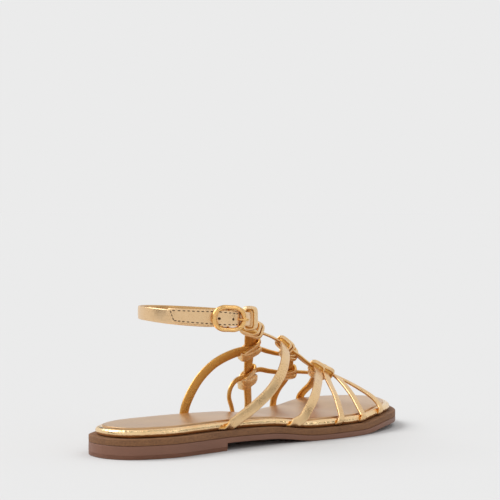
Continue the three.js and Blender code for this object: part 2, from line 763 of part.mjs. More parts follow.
// Bore for the bar
function barBore(length, y) {
  const inner = barRadius + barGap;
  const geometry = new THREE.CylinderGeometry(inner, inner, length, foldSides);
  geometry.translate(0, y, barLift);
  return solidOf(geometry.applyMatrix4(buckleMatrix));
}

// Box at the prong's height, to cut the strap for it
function buckleBox(length, height, depth, x, z) {
  const geometry = new THREE.BoxGeometry(length, height, depth);
  geometry.translate(x, prongRise, z);
  return solidOf(geometry.applyMatrix4(buckleMatrix));
}

function ankleStrap() {
  const slot = prongWidth + 2 * prongSlotGap;
  const steps = stepsPerRow * (ankleRows.length - 1);
  return ribbon(ankleRoute, ankleStrapHeight, ankleStrapThickness, steps)
    .add(barFold())
    .subtract(barBore(2 * ankleStrapHeight, 0))
    .subtract(buckleBox(prongSlotLength, slot, slotDepth, 0, barLift))
    .subtract(buckleBox(prongHoleLength, slot, slotDepth, prongHoleAt, freeStrapLift));
}

// Prong: an eye round the bar and a finger that rests on the front rim
function buckleProng() {
  const inner = barRadius + barGap;
  const level = { eye: barLift - inner - prongEye, bar: barLift, rim: frameLift + buckleWire + gap };
  const fingerShape = new THREE.Shape(
    fingerRows.map(({ along, over, lift }) => new THREE.Vector2(along, level[over] + lift)));
  const eyeShape = new THREE.Shape();
  eyeShape.absarc(0, barLift, inner + prongEye, 0, 2 * Math.PI);
  const [arm, ring] = [fingerShape, eyeShape].map((shape) => {
    const options = { depth: prongWidth, bevelEnabled: false, curveSegments: 6 };
    const geometry = new THREE.ExtrudeGeometry(shape, options);
    geometry.rotateX(Math.PI / 2);
    geometry.translate(0, prongWidth / 2 + prongRise, 0);
    return solidOf(geometry.applyMatrix4(buckleMatrix));
  });
  return arm.add(ring).subtract(barBore(2 * prongWidth, prongRise));
}

// Finishes: colour, roughness and metalness of each piece
const finishes = {
  outsole: { color: 0x74533f, roughness: 0.6, metalness: 0 },
  midsole: { color: 0x6b4e36, roughness: 0.75, metalness: 0 },
  footbed: { color: 0xd9a55c, roughness: 0.3, metalness: 0.8 },
  insole_cover: { color: 0xcbb09c, roughness: 0.4, metalness: 0.4 },
  upper: { color: 0xe0b880, roughness: 0.4, metalness: 0.7 },
  ankle_strap: { color: 0xe2c094, roughness: 0.4, metalness: 0.7 },
  buckle_frame: { color: 0xdca754, roughness: 0.2, metalness: 1 },
  buckle_prong: { color: 0xdca754, roughness: 0.2, metalness: 1 },
};

// Origin at the middle of the sole on the floor
const soleSolid = outsole();
const soleBox = soleSolid.boundingBox();
const origin = [0, 1].map((axis) => -(soleBox.min[axis] + soleBox.max[axis]) / 2);

// One clean body: specks shut in between tight layers of a joined solid are filled
function closed(solid) {
  let whole = solid;
  for (let round = 0; round < closingRounds; round += 1) {
    whole = solidOf(geometryOf(whole)).decompose().reduce(
      (best, body) => (body.volume() > best.volume() ? body : best));
  }
  return whole;
}

function piece(name, solid) {
  const whole = closed(solid.translate(origin[0], origin[1], 0));
  const mesh = new THREE.Mesh(geometryOf(whole), new THREE.MeshStandardMaterial(finishes[name]));
  mesh.name = name;
  return mesh;
}

const upperSolid = upper();
const sandal = new THREE.Group();
sandal.add(
  piece('outsole', soleSolid),
  piece('midsole', midsole()),
  piece('footbed', footbedPad().subtract(footPockets()).subtract(upperSolid)),
  piece('insole_cover', insoleCover()),
  piece('upper', upperSolid),
  piece('ankle_strap', ankleStrap()),
  piece('buckle_frame', buckleFrame()),
  piece('buckle_prong', buckleProng()),
);
export default sandal;
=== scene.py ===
import bisect
import math

import bpy
from mathutils import Matrix, Vector, noise


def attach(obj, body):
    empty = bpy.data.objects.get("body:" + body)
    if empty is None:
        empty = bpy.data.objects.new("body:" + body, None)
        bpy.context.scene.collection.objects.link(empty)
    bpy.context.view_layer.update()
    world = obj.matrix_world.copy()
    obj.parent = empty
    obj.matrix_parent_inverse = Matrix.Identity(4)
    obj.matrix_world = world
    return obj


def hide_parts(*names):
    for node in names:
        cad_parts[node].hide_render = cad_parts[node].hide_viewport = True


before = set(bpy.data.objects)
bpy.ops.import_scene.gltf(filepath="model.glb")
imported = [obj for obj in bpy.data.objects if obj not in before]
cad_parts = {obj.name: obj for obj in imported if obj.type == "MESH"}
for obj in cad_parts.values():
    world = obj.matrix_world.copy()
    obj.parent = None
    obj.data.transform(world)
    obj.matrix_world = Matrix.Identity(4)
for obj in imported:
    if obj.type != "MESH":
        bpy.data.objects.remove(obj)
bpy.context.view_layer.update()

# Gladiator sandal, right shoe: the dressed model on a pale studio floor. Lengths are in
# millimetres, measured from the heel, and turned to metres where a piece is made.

MM = 0.001
UP = Vector((0, 0, 1))

# The solids' origin, under the middle of the sole
ORIGIN = Vector((127.487, -0.798, 0.0))

# Sole
SOLE_LENGTH = 255.0
BALL_WIDTH = 86.0
HEEL_HEIGHT = 4.5
HEEL_BLOCK = 72.0
TOE_SPRING = 3.6
OUTSOLE_TOP = 3.4
MIDSOLE_BOTTOM = 3.5
MIDSOLE_TOP = 7.3
FOOTBED_BOTTOM = 7.4
FOOTBED_TOP = 12.3
FOOTBED_LEDGE = 4.0
SOCK_MARGIN = 3.9
INSTEP_HEIGHT = 55.0
EDGE_LEVEL = 10.8
TUCK_LEVEL = 8.8
STRAP_INSET = 2.85
STRAP_THICKNESS = 1.7
FOOT_BLEND = 5.0
PLATE_ROUND = 0.5
MIDSOLE_ROUND = 0.45
SOCK_THICKNESS = 0.8
SOCK_SINK = 0.1
SOCK_ROUND = 0.3

# Fineness of curves and skins
OUTLINE_STEPS = 1600
EDGE_STEP = 0.0006
REACH_STEPS = 120
BREAST_STEPS = 3000
ALONG_STEP = 0.004
AROUND_STEP = 2.5
ROUTE_STEPS = 400
NEAR_STEPS = 240
TANGENT_STEP = 0.004
STRAP_STEP = 1.2
ANKLE_STEP = 1.4
SOLE_STATIONS = 150
BLOCK_STATIONS = 70
PAD_STATIONS = 440
ACROSS = 8
ROUND_STEPS = 4
PAD_STEPS = 12
TURN_SIDES = 32
TURN_STEP = 0.05

# Sole outline: share of the length, widths as shares of the ball width
OUTLINE = [
    (0.008, 0.118, 0.135),
    (0.031, 0.214, 0.242), (0.118, 0.338, 0.359), (0.235, 0.357, 0.349),
    (0.333, 0.365, 0.306), (0.431, 0.391, 0.280), (0.529, 0.449, 0.313),
    (0.627, 0.505, 0.399), (0.706, 0.516, 0.462), (0.784, 0.490, 0.498),
    (0.863, 0.427, 0.472), (0.922, 0.334, 0.400), (0.969, 0.192, 0.287),
    (0.992, 0.081, 0.175),
]
TOE_SHIFT = 0.047

# Underside: share of the length, shares of the heel height and of the toe spring
UNDERSIDE = [
    (0.0, 1.0, 0.0), (0.282, 1.0, 0.0), (0.431, 0.8, 0.0), (0.575, 0.0, 0.0),
    (0.72, 0.0, 0.0), (0.843, 0.0, 0.8), (1.0, 0.0, 1.0),
]

# Foot form: share of the length, ridge height, lean, fullness of its outer and inner side
LAST = [
    (0.0, 1.46, 0.0, 2.0, 2.1), (0.157, 1.38, 0.0, 1.9, 2.1), (0.373, 1.17, -0.012, 1.8, 2.1),
    (0.49, 1.0, 0.0, 1.6, 2.1), (0.569, 0.92, 0.024, 1.35, 2.1), (0.627, 0.822, 0.047, 1.15, 2.1),
    (0.675, 0.69, 0.047, 1.05, 2.05), (0.714, 0.58, 0.047, 1.05, 2.0),
    (0.753, 0.495, 0.042, 1.1, 1.95), (0.804, 0.367, 0.03, 1.3, 1.9),
    (0.855, 0.25, 0.024, 1.65, 1.9), (1.0, 0.1, 0.047, 2.0, 2.0),
]

# Straps: width, then rows of share of the sole's length, angle around the foot, lift
STRAPS = {
    "instep": (6.8, [
        (0.268, -12), (0.276, -6), (0.29, -3), (0.308, 0), (0.333, 3.4), (0.382, 10), (0.435, 20),
        (0.478, 32), (0.525, 47), (0.59, 68), (0.633, 84), (0.673, 100), (0.706, 114),
        (0.735, 128), (0.749, 142), (0.745, 156), (0.739, 170), (0.738, 180), (0.738, 185),
        (0.738, 192)]),
    "vamp": (6.4, [
        (0.49, -12), (0.496, -5), (0.506, 0), (0.524, 5), (0.557, 18), (0.618, 36),
        (0.675, 50), (0.722, 64), (0.757, 84), (0.788, 102), (0.82, 118), (0.841, 134),
        (0.847, 152), (0.845, 168), (0.845, 180), (0.845, 185), (0.845, 192)]),
    "chain": (8.4, [
        (0.465, 74, 0.4), (0.48, 82, 0.1), (0.503, 93), (0.53, 110), (0.557, 128),
        (0.575, 142), (0.586, 154), (0.597, 164), (0.604, 172), (0.602, 180), (0.6, 185),
        (0.6, 192)]),
    "arch": (6.6, [
        (0.557, 126, -0.7), (0.51, 134), (0.47, 142), (0.424, 152), (0.39, 161),
        (0.365, 170), (0.352, 176), (0.348, 180), (0.348, 185), (0.348, 192)]),
    "side": (3.4, [
        (0.585, 153, -0.7), (0.535, 156), (0.51, 163), (0.506, 169), (0.518, 175),
        (0.526, 180), (0.53, 185), (0.53, 192)]),
    "centre": (5.0, [
        (0.485, 86, -0.7), (0.53, 86), (0.575, 87), (0.63, 88, -0.7), (0.69, 89),
        (0.745, 90, -0.5), (0.785, 92, -0.8), (0.808, 92, -0.8)]),
    "inner_rear": (3.4, [
        (0.56, 128, 0.6), (0.6, 122, 0.2), (0.635, 119), (0.662, 112), (0.675, 102, 0.6)]),
    "inner_front": (3.4, [
        (0.588, 152, 0.6), (0.63, 144, 0.2), (0.68, 138), (0.733, 129, 0.6),
        (0.762, 120, 0.2), (0.786, 110), (0.8, 98, 0.6)]),
    "toe_rear": (4.5, [
        (0.79, 92, 1.2), (0.76, 70, 0.3), (0.725, 52), (0.693, 36), (0.667, 22),
        (0.651, 8), (0.643, 0), (0.638, -5), (0.636, -12)]),
    "toe_middle": (4.4, [
        (0.798, 90, 0.8), (0.79, 68, 0.2), (0.776, 50), (0.761, 35), (0.745, 21),
        (0.736, 8), (0.731, 0), (0.728, -5), (0.727, -12)]),
    "toe_front": (4.4, [
        (0.804, 97, 0.1), (0.81, 66), (0.818, 48), (0.825, 34), (0.826, 20), (0.823, 8),
        (0.819, 0), (0.816, -5), (0.815, -12)]),
}

# Knots: strap that is wound, place on it, width of the winding, slant along the strap,
# and how much wider and thicker than the strap it is
KNOTS = [
    ("chain", 0.494, 87, 9.6, 1.4, 1.6, 3.2), ("chain", 0.557, 128, 8.8, 2.4, 3.2, 1.8),
    ("chain", 0.586, 154, 10.0, 2.4, 3.2, 1.8), ("instep", 0.63, 83, 6.4, 0.6, 1.2, 1.9),
    ("instep", 0.672, 99, 7.8, -0.8, 1.2, 2.2), ("instep", 0.735, 128, 8.5, 1.6, 1.6, 1.6),
    ("vamp", 0.752, 80, 6.8, 0.6, 1.2, 2.0), ("vamp", 0.785, 96, 9.0, -0.8, 2.2, 2.8),
    ("toe_rear", 0.768, 75, 6.6, 0.8, 2.6, 1.6),
]

# Ankle strap: turn about the loop's centre, lift outwards, rise
ANKLE_CENTRE = (78.5, 79.2)
ANKLE_HALF = (37.2, 34.0)
ANKLE_SLOPE = (-0.06, 0.03)
ANKLE_HEIGHT = 8.6
ANKLE = [
    (-106.6, 1.2, 0.3), (-113.4, 0.4, 0), (-122.4, 0, -0.5), (-142, 0, -0.6),
    (-165, 0, -0.4), (-190, 0, 0), (-215, 0, 0), (-240, 0, 0), (-265, 0, 0), (-290, 0, 0),
    (-315, 0, 0), (-340, 0, 0), (-365, 0.4, 0), (-380, -0.6, 0), (-395, -2.6, 0),
    (-411, -3.4, 0.1), (-426, -2, 0.2), (-442.4, 1.7, 0.4), (-451.4, 2.1, 0.5),
    (-458.4, 4, 0.5), (-465.4, 5, 0.6), (-472.4, 4, 0.6), (-479.4, 2.1, 0.6),
    (-488.4, 2, 0.6), (-504, 2, 0.6), (-518.5, 2, 0.6),
]
LOOP_TURNS = (-372, -377, -382, -388, -395, -403, -412, -422)

# Buckle
BUCKLE_TURN = -105.4
BUCKLE_HALF_LENGTH = 10.5
BUCKLE_HALF_HEIGHT = 6.7
BUCKLE_WAIST = 6.5
BUCKLE_WIRE = 1.45
BUCKLE_RISE = 0.6
FREE_LIFT = 2.0
RIM_GAP = 0.8
BAR_RADIUS = 0.8
PRONG_RISE = 0.3


# Smooth curve through the values of one column, without overshoot
def column(rows, index):
    x = [row[0] for row in rows]
    y = [row[index] for row in rows]
    slope = [(y[i + 1] - y[i]) / (x[i + 1] - x[i]) for i in range(len(x) - 1)]
    inner = [0 if a * b <= 0 else 2 * a * b / (a + b) for a, b in zip(slope, slope[1:])]
    tangent = [slope[0], *inner, slope[-1]]

    def value(at):
        at = min(max(at, x[0]), x[-1])
        i = min(max(bisect.bisect_left(x, at) - 1, 0), len(x) - 2)
        span = x[i + 1] - x[i]
        t = (at - x[i]) / span
        rise = t * t * (3 - 2 * t)
        bend = tangent[i] * t * (1 - t) ** 2 - tangent[i + 1] * t * t * (1 - t)
        return y[i] + (y[i + 1] - y[i]) * rise + span * bend

    return value


# Smooth curve through points, open or closed, with steps by the distance between them
class Smooth:
    def __init__(self, points, closed=False):
        self.points = [Vector(p) for p in points]
        self.closed = closed
        self.spans = len(self.points) if closed else len(self.points) - 1

    def knot(self, i):
        count = len(self.points)
        if self.closed:
            return self.points[i % count]
        if i < 0:
            return 2 * self.points[0] - self.points[1]
        if i >= count:
            return 2 * self.points[-1] - self.points[-2]
        return self.points[i]

    def at(self, share):
        place = share * self.spans
        i = min(int(place), self.spans - 1)
        t = place - i
        p = [self.knot(i + k) for k in (-1, 0, 1, 2)]
        d = [max((b - a).length ** 0.5, 1e-4) for a, b in zip(p, p[1:])]
        m1 = (p[1] - p[0]) / d[0] - (p[2] - p[0]) / (d[0] + d[1]) + (p[2] - p[1]) / d[1]
        m2 = (p[2] - p[1]) / d[1] - (p[3] - p[1]) / (d[1] + d[2]) + (p[3] - p[2]) / d[2]
        m1, m2 = m1 * d[1], m2 * d[1]
        t2, t3 = t * t, t * t * t
        return (p[1] * (2 * t3 - 3 * t2 + 1) + m1 * (t3 - 2 * t2 + t)
                + p[2] * (3 * t2 - 2 * t3) + m2 * (t3 - t2))


# Sole outline by its length, from the heel round the big-toe side
OUTLINE_POINTS = (
    [(0, 0, 0)]
    + [(a * SOLE_LENGTH, m * BALL_WIDTH, 0) for a, _, m in OUTLINE]
    + [(SOLE_LENGTH, TOE_SHIFT * BALL_WIDTH, 0)]
    + [(a * SOLE_LENGTH, -l * BALL_WIDTH, 0) for a, l, _ in reversed(OUTLINE)])
outline_curve = Smooth(OUTLINE_POINTS, closed=True)
outline_dots = [outline_curve.at(i / OUTLINE_STEPS) for i in range(OUTLINE_STEPS + 1)]
outline_run = [0.0]
for before, after in zip(outline_dots, outline_dots[1:]):
    outline_run.append(outline_run[-1] + (after - before).length)
toe_dot = max(range(OUTLINE_STEPS + 1), key=lambda i: outline_dots[i].x)
toe_run = outline_run[toe_dot] / outline_run[-1]


def outline_at(share):
    run = (share % 1) * outline_run[-1]
    i = min(max(bisect.bisect_left(outline_run, run) - 1, 0), OUTLINE_STEPS - 1)
    t = (run - outline_run[i]) / (outline_run[i + 1] - outline_run[i])
    return outline_dots[i].lerp(outline_dots[i + 1], t)


# Point on one side of the outline, moved inwards; side is 1 for the big-toe side
def edge(side, share, inset):
    u = share * toe_run if side > 0 else 1 - share * (1 - toe_run)
    ahead = outline_at(u + EDGE_STEP) - outline_at(u - EDGE_STEP)
    ahead.normalize()
    return outline_at(u) + Vector((ahead.y, -ahead.x, 0)) * inset


heel_rise, toe_rise = column(UNDERSIDE, 1), column(UNDERSIDE, 2)
ridge_rise, ridge_lean = column(LAST, 1), column(LAST, 2)
full = {-1: column(LAST, 3), 1: column(LAST, 4)}
reach = {side: column(sorted({round(p.x / SOLE_LENGTH, 5): (p.x / SOLE_LENGTH, side * p.y)
                              for p in (edge(side, i / REACH_STEPS, STRAP_INSET)
                                        for i in range(REACH_STEPS + 1))}.values()), 1)
         for side in (-1, 1)}


def underside(x):
    at = x / SOLE_LENGTH
    return HEEL_HEIGHT * heel_rise(at) + TOE_SPRING * toe_rise(at)


# Foot form: point at a share of the length and an angle around the foot
def last_point(along, around):
    x = along * SOLE_LENGTH
    centre = ridge_lean(along) * BALL_WIDTH
    width = {-1: reach[-1](along) + centre, 1: reach[1](along) - centre}
    depth = max(-around, around - 180)
    if depth > 0:
        side = -1 if around < 0 else 1
        radius = EDGE_LEVEL - TUCK_LEVEL
        arc = radius * math.pi / 2
        turn = min(depth / arc, 1) * math.pi / 2
        inwards = radius * (1 - math.cos(turn)) + max(depth - arc, 0)
        return Vector((x, centre + side * (width[side] - inwards),
                       underside(x) + EDGE_LEVEL - radius * math.sin(turn)))
    side = -1 if around < 90 else 1
    power = 2 / full[side](along)
    angle = math.radians(around)
    top = ridge_rise(along) * INSTEP_HEIGHT + (FOOTBED_TOP - EDGE_LEVEL)
    return Vector((x, centre + side * width[side] * abs(math.cos(angle)) ** power,
                   underside(x) + EDGE_LEVEL + top * abs(math.sin(angle)) ** power))


def last_normal(along, around):
    forward = last_point(along + ALONG_STEP, around) - last_point(along - ALONG_STEP, around)
    across = last_point(along, around + AROUND_STEP) - last_point(along, around - AROUND_STEP)
    return forward.cross(across).normalized()


# Level direction out of the rim
def rim_out(side, along):
    rise = reach[side](along + ALONG_STEP) - reach[side](along - ALONG_STEP)
    slope = rise / (2 * ALONG_STEP * SOLE_LENGTH)
    return Vector((-slope, side, 0)).normalized()


# Outward direction of the ankle loop, and a point on or near it
def ankle_face(turn):
    angle = math.radians(turn)
    out = Vector((math.cos(angle) / ANKLE_HALF[0], math.sin(angle) / ANKLE_HALF[1], 0))
    return out.normalized()


def ankle_point(turn, lift, rise):
    angle = math.radians(turn)
    point = Vector((ANKLE_HALF[0] * math.cos(angle), ANKLE_HALF[1] * math.sin(angle), 0))
    point += ankle_face(turn) * lift
    point.z = ANKLE_CENTRE[1] + ANKLE_SLOPE[0] * point.x + ANKLE_SLOPE[1] * point.y + rise
    point.x += ANKLE_CENTRE[0]
    return point


# Route of a strap: where it runs and which way its face looks. Its curve weighs a share
# of the length and a lift against degrees by these two factors.
ALONG_WEIGHT = 400
LIFT_WEIGHT = 10


class StrapRoute:
    def __init__(self, rows):
        self.curve = Smooth([(row[0] * ALONG_WEIGHT, row[1],
                              (row[2] if len(row) > 2 else 0) * LIFT_WEIGHT) for row in rows])

    def point(self, t):
        row = self.curve.at(t)
        along = row.x / ALONG_WEIGHT
        return last_point(along, row.y) + last_normal(along, row.y) * row.z / LIFT_WEIGHT

    # Towards the rim the face turns level, and under the footbed it turns down
    def face(self, t):
        row = self.curve.at(t)
        along, around = row.x / ALONG_WEIGHT, row.y
        over = around if around < 90 else 180 - around
        if over >= FOOT_BLEND:
            return last_normal(along, around)
        side = -1 if around < 90 else 1
        level = rim_out(side, along)
        if over >= 0:
            above = last_normal(along, FOOT_BLEND if side < 0 else 180 - FOOT_BLEND)
            return level.lerp(above, over / FOOT_BLEND).normalized()
        turn = min(-over / ((EDGE_LEVEL - TUCK_LEVEL) * math.pi / 2), 1) * math.pi / 2
        return level * math.cos(turn) - UP * math.sin(turn)


# Route of the ankle strap, with its lift and rise weighed against degrees
ANKLE_WEIGHT = 4


class AnkleRoute:
    def __init__(self, rows):
        self.curve = Smooth([(turn, lift * ANKLE_WEIGHT, rise * ANKLE_WEIGHT)
                             for turn, lift, rise in rows])

    def point(self, t):
        row = self.curve.at(t)
        return ankle_point(row.x, row.y / ANKLE_WEIGHT, row.z / ANKLE_WEIGHT)

    def face(self, t):
        return ankle_face(self.curve.at(t).x)


# Position and directions of a route at a share of it: ahead, sideways and outwards
def frame_at(route, t):
    low, high = max(t - TANGENT_STEP, 0), min(t + TANGENT_STEP, 1)
    tangent = (route.point(high) - route.point(low)).normalized()
    face = route.face(t)
    face = (face - tangent * face.dot(tangent)).normalized()
    return route.point(t), tangent, face.cross(tangent), face


# The same at the place of a route that lies nearest to a point
def frame_near(route, point):
    best = min(range(NEAR_STEPS + 1),
               key=lambda i: (route.point(i / NEAR_STEPS) - point).length)
    return frame_at(route, best / NEAR_STEPS)


# Shares at even steps along a route, and its length
def even_shares(route, step):
    dots = [route.point(i / ROUTE_STEPS) for i in range(ROUTE_STEPS + 1)]
    run = [0.0]
    for a, b in zip(dots, dots[1:]):
        run.append(run[-1] + (b - a).length)
    count = max(int(run[-1] / step), 4)
    shares = []
    for k in range(count + 1):
        goal = run[-1] * k / count
        i = min(max(bisect.bisect_left(run, goal) - 1, 0), ROUTE_STEPS - 1)
        shares.append((i + (goal - run[i]) / (run[i + 1] - run[i])) / ROUTE_STEPS)
    return shares, run[-1]


# A closed skin through rings of points; each ring goes once round the section.
# It starts as a grid whose last column meets its first, and marks the half of each ring
# that lies on the inner side, where the foil's darker colour is painted shade.
def skin(name, rings, joined=False, smooth_angle=60.0):
    around = len(rings[0])
    if joined:
        rings = rings + [rings[0]]
    bpy.ops.object.select_all(action="DESELECT")
    bpy.ops.mesh.primitive_grid_add(x_subdivisions=around, y_subdivisions=len(rings) - 1, size=1)
    piece = bpy.context.object
    piece.name = piece.data.name = name
    mesh = piece.data
    # Attribute for the painted shade on the inner half of each ring
    painted_inner_shade = mesh.attributes.new("painted_inner_shade", "FLOAT", "POINT")
    for j, ring in enumerate(rings):
        for i in range(around + 1):
            k = j * (around + 1) + i
            mesh.vertices[k].co = (ring[i % around] - ORIGIN) * MM
            painted_inner_shade.data[k].value = float(i % around >= around / 2)
    bpy.ops.object.mode_set(mode="EDIT")
    bpy.ops.mesh.select_all(action="SELECT")
    bpy.ops.mesh.remove_doubles(threshold=1e-7)
    if not joined:
        bpy.ops.mesh.select_all(action="DESELECT")
        bpy.ops.mesh.select_non_manifold()
        bpy.ops.mesh.fill_holes(sides=0)
    bpy.ops.mesh.select_all(action="SELECT")
    bpy.ops.mesh.normals_make_consistent(inside=False)
    bpy.ops.object.mode_set(mode="OBJECT")
    bpy.ops.object.shade_smooth_by_angle(angle=math.radians(smooth_angle))
    return piece


# A finished piece rides on the shoe's one body and takes the place of the solids it dresses
def finish(piece, material, slot, *nodes):
    piece.data.materials.clear()
    piece.data.materials.append(material)
    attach(piece, "root")
    if nodes:
        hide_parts(*nodes)
    return piece


# Section of a strap: a flat band with turned edges, softly crowned on its face
EDGE_ROUND = 0.42
STRAP_CROWN = 0.12
CORNER_TURNS = (0, 30, 60, 90)
CROWN_SHARES = (0.6, 0.2, -0.2, -0.6)


def band(width, thickness, crown=STRAP_CROWN):
    x, y = width / 2, thickness / 2
    r = thickness * EDGE_ROUND
    dots = []
    for cx, cy, start in ((x - r, y - r, 0), (-x + r, y - r, 90), (-x + r, -y + r, 180),
                          (x - r, -y + r, 270)):
        for turn in CORNER_TURNS:
            angle = math.radians(start + turn)
            dots.append((cx + r * math.cos(angle), cy + r * math.sin(angle)))
        if start in (0, 180):
            up = 1 if start == 0 else -1
            for share in CROWN_SHARES:
                bulge = crown * (1 - share * share) * up
                dots.append((up * share * (x - r), up * y + bulge))
    return dots


# Rings of a band swept along a route
def swept(route, width, thickness):
    rings = []
    for share in even_shares(route, STRAP_STEP)[0]:
        point, _, side, face = frame_at(route, share)
        rings.append([point + side * x + face * y for x, y in band(width, thickness)])
    return rings


# One value or link in a finish, for sums written as sums
class Wire:
    def __init__(self, sheet, socket):
        self.sheet, self.socket = sheet, socket

    def __add__(self, other):
        return self.sheet.maths("ADD", self, other)

    def __mul__(self, other):
        return self.sheet.maths("MULTIPLY", self, other)

    def __sub__(self, other):
        return self.sheet.maths("SUBTRACT", self, other)

    def __rsub__(self, other):
        return self.sheet.maths("SUBTRACT", other, self)

    __radd__ = __add__
    __rmul__ = __mul__


# The node tree of one finish
class Sheet:
    def __init__(self, name):
        self.material = bpy.data.materials.new(name)
        self.material.use_nodes = True
        self.tree = self.material.node_tree
        self.tree.nodes.clear()

    def node(self, kind, settings, inputs, output=0):
        made = self.tree.nodes.new(kind)
        for key, value in settings.items():
            setattr(made, key, value)
        for key, value in inputs.items():
            if isinstance(value, Wire):
                self.tree.links.new(value.socket, made.inputs[key])
            else:
                made.inputs[key].default_value = value
        return Wire(self, made.outputs[output])

    def maths(self, operation, *values):
        return self.node("ShaderNodeMath", {"operation": operation}, dict(enumerate(values)))

    def clamp(self, value):
        return self.node("ShaderNodeClamp", {}, {"Value": value, "Min": 0.0, "Max": 1.0})

    def mix(self, factor, first, second):
        return self.node("ShaderNodeMix", {"data_type": "RGBA"},
                         {0: factor, 6: (*first, 1) if isinstance(first, tuple) else first,
                          7: (*second, 1) if isinstance(second, tuple) else second}, 2)

    def place(self):
        return self.node("ShaderNodeTexCoord", {}, {}, "Object")

    def measure(self, name):
        return self.node("ShaderNodeAttribute", {"attribute_name": name}, {}, "Fac")

    def noise(self, where, scale, detail=3.0, rough=0.5):
        return self.node("ShaderNodeTexNoise", {},
                         {"Vector": where, "Scale": scale, "Detail": detail, "Roughness": rough})

    def cells(self, where, scale):
        return self.node("ShaderNodeTexVoronoi", {}, {"Vector": where, "Scale": scale}, "Distance")

    def stretch(self, where, scale):
        return self.node("ShaderNodeMapping", {}, {"Vector": where, "Scale": scale})

    def bump(self, height, depth, strength):
        return self.node("ShaderNodeBump", {},
                         {"Height": height, "Distance": depth * MM, "Strength": strength})

    def surface(self, **inputs):
        named = {key.replace("_", " "): value for key, value in inputs.items()}
        shader = self.node("ShaderNodeBsdfPrincipled", {}, named, "BSDF")
        end = self.tree.nodes.new("ShaderNodeOutputMaterial")
        self.tree.links.new(shader.socket, end.inputs["Surface"])
        return self.material


SOCK_DEEP, SOCK_PALE = (0.54, 0.31, 0.14), (0.68, 0.45, 0.25)
BOARD_DEEP, BOARD_PALE = (0.10, 0.038, 0.012), (0.31, 0.140, 0.052)
RUBBER_DEEP, RUBBER_PALE = (0.180, 0.076, 0.042), (0.245, 0.107, 0.062)


# Foil leather: a metal skin over fine grain, paler where it is rubbed, with a darker, more orange
# inner side that is painted shade
def foil(name, pale, deep, roughness, grain, creases, metal=0.85, inside=None):
    sheet = Sheet(name)
    where = sheet.place()
    cloud = sheet.clamp(sheet.noise(where, 70.0, 4.0, 0.6) * 2.2 - 0.6)
    speck = sheet.clamp(sheet.noise(where, 1500.0, 2.0, 0.7) * 2.4 - 0.7)
    pores = sheet.cells(where, 1700.0)
    tone = sheet.clamp(cloud * 0.6 + speck * 0.4)
    folds = sheet.noise(sheet.stretch(where, (1.0, 1.0, 0.25)), 420.0, 3.0, 0.65)
    height = pores * 0.6 + speck * 0.5 + folds * creases
    colour = sheet.mix(tone, deep, pale)
    if inside:
        # Darker, more orange inner side: painted shade
        colour = sheet.mix(sheet.measure("painted_inner_shade"), colour, inside)
    return sheet.surface(
        Base_Color=colour, Metallic=metal,
        Roughness=sheet.clamp(roughness + (cloud - 0.5) * 0.1 + (speck - 0.5) * 0.06),
        Normal=sheet.bump(height, grain, 0.7))


def sock_satin():
    sheet = Sheet("sock_satin")
    where = sheet.place()
    cloud = sheet.clamp(sheet.noise(where, 45.0, 3.0) * 2.0 - 0.5)
    speck = sheet.noise(where, 1800.0, 2.0, 0.7)
    return sheet.surface(
        Base_Color=sheet.mix(cloud, SOCK_DEEP, SOCK_PALE), Metallic=0.8,
        Roughness=sheet.clamp(0.24 + cloud * 0.06 + speck * 0.08),
        Normal=sheet.bump(speck, 0.05, 0.5))


def midsole_board():
    sheet = Sheet("midsole_board")
    where = sheet.place()
    layers = sheet.noise(sheet.stretch(where, (0.12, 0.12, 1.0)), 1300.0, 4.0, 0.7)
    speck = sheet.noise(where, 900.0, 4.0, 0.75)
    cloud = sheet.noise(where, 50.0, 3.0)
    tone = sheet.clamp(speck * 1.6 + layers * 0.8 + cloud * 0.5 - 0.95)
    return sheet.surface(
        Base_Color=sheet.mix(tone, BOARD_DEEP, BOARD_PALE),
        Roughness=sheet.clamp(0.72 + (speck - 0.5) * 0.3),
        Normal=sheet.bump(speck + layers * 0.5, 0.22, 0.8))


def sole_rubber():
    sheet = Sheet("sole_rubber")
    where = sheet.place()
    speck = sheet.noise(where, 1400.0, 3.0, 0.6)
    cloud = sheet.noise(where, 35.0, 3.0)
    tone = sheet.clamp(cloud * 1.4 + speck * 0.5 - 0.45)
    return sheet.surface(
        Base_Color=sheet.mix(tone, RUBBER_DEEP, RUBBER_PALE),
        Roughness=sheet.clamp(0.5 + (speck - 0.5) * 0.15),
        Normal=sheet.bump(speck, 0.08, 0.6))


def gilt(name, roughness):
    sheet = Sheet(name)
    where = sheet.place()
    brushed = sheet.noise(where, 600.0, 3.0, 0.6)
    return sheet.surface(
        Base_Color=sheet.mix(brushed, (0.82, 0.46, 0.15), (0.93, 0.58, 0.24)), Metallic=1.0,
        Roughness=sheet.clamp(roughness + (brushed - 0.5) * 0.08),
        Normal=sheet.bump(brushed, 0.01, 0.3))


def thread():
    sheet = Sheet("waxed_thread")
    where = sheet.place()
    twist = sheet.noise(sheet.stretch(where, (1.0, 1.0, 3.0)), 2500.0, 2.0)
    return sheet.surface(
        Base_Color=sheet.mix(twist, (0.05, 0.025, 0.012), (0.14, 0.07, 0.03)), Roughness=0.6,
        Normal=sheet.bump(twist, 0.1, 0.8))


